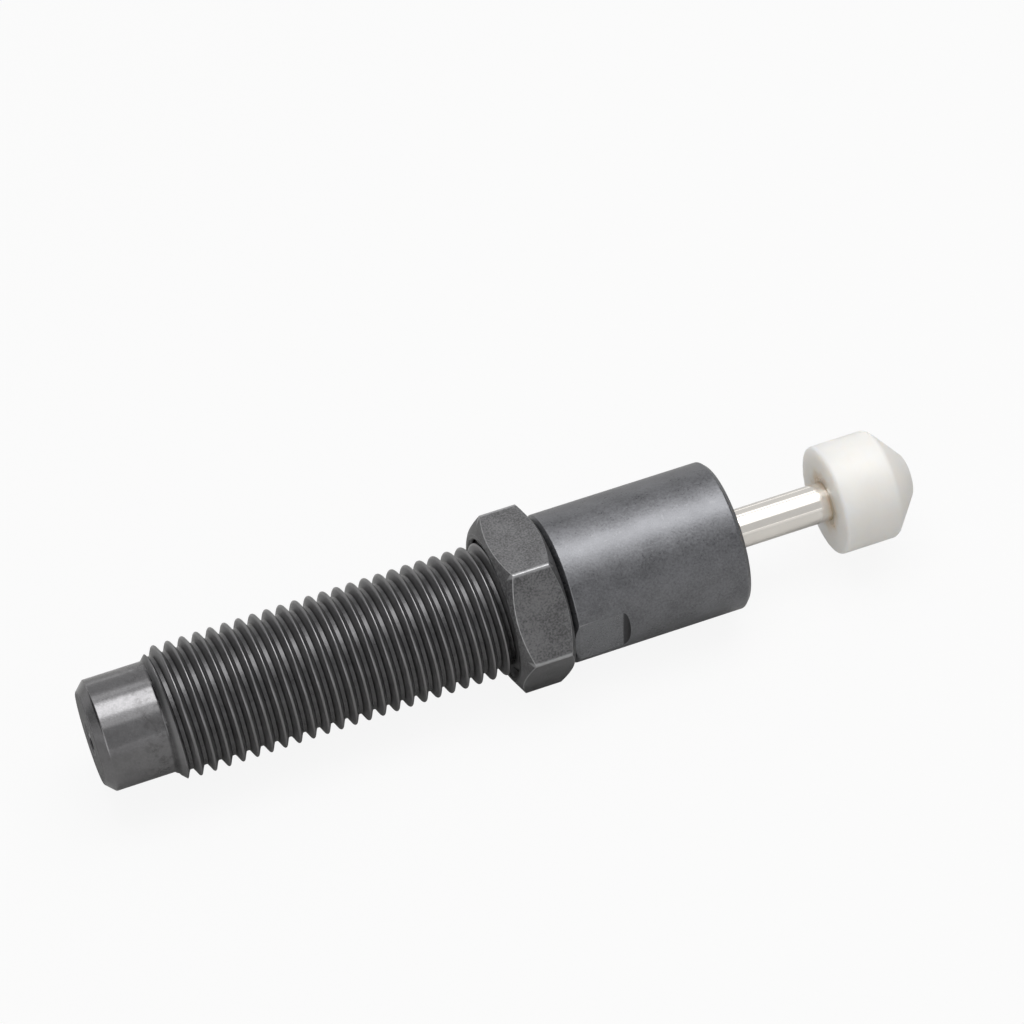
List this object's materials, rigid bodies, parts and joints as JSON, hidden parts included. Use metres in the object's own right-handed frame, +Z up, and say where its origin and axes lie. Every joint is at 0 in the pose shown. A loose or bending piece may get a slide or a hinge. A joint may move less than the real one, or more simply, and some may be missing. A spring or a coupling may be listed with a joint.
{
  "type": "shock absorber",
  "caption": "Miniature hydraulic shock absorber with a threaded body, hexagonal lock nut, stop collar, chromed spring-returned rod and white plastic impact cap.",
  "frame": {"origin": "on the axis, in the lock nut's rear face, which meets the machine bracket", "axes": "+X along the axis towards the impact cap, +Z up and square to one pair of the nut's flats"},
  "size_m": [0.0897, 0.0196, 0.017],
  "materials": {
    "black_oxide": "glossy black oxide",
    "grey_oxide": "matt grey-black oxide",
    "black_satin": "satin black oxide",
    "dark_steel": "phosphated",
    "steel": "ground",
    "spring_steel": "drawn wire",
    "bronze": "turned bearing bronze",
    "gland_aluminium": "turned",
    "chrome": "ground and chromed",
    "white_plastic": "natural white engineering plastic",
    "black_rubber": "moulded",
    "bumper_rubber": "moulded",
    "foam": "closed-cell foam"
  },
  "bodies": {
    "body": {"housing": "black_oxide", "fill_screw": "dark_steel", "fill_seal": "black_rubber", "tube_base": "steel", "pressure_tube": "steel", "return_spring": "spring_steel", "rod_bearing": "bronze", "accumulator_foam": "foam", "rebound_bumper": "bumper_rubber", "backup_washer": "steel", "rod_seal": "black_rubber", "seal_gland": "gland_aluminium", "gland_o_ring": "black_rubber", "wiper_ring": "black_rubber", "retaining_ring": "dark_steel"},
    "rod": {"piston_rod": "chrome", "valve_seat": "bronze", "piston_guide": "bronze", "piston_nut": "steel", "impact_cap": "white_plastic"},
    "check_ring": {"check_ring": "steel"},
    "lock_nut": {"lock_nut": "grey_oxide"},
    "stop_collar": {"stop_collar": "black_satin"}
  },
  "joints": [
    {"name": "rod_stroke", "type": "slide", "parent": "body", "child": "rod", "axis": [1, 0, 0], "range_m": [-0.0215, 0], "stiffness_N_per_m": 325, "springref_m": 0.0154, "deforming": ["return_spring"]},
    {"name": "check_ring_float", "type": "slide", "parent": "rod", "child": "check_ring", "axis": [1, 0, 0], "range_m": [-0.0003, 0]},
    {"name": "lock_nut_travel", "type": "slide", "parent": "body", "child": "lock_nut", "axis": [1, 0, 0], "range_m": [-0.028, 0]},
    {"name": "stop_collar_travel", "type": "slide", "parent": "body", "child": "stop_collar", "axis": [1, 0, 0], "range_m": [0, 0.004]}
  ]
}
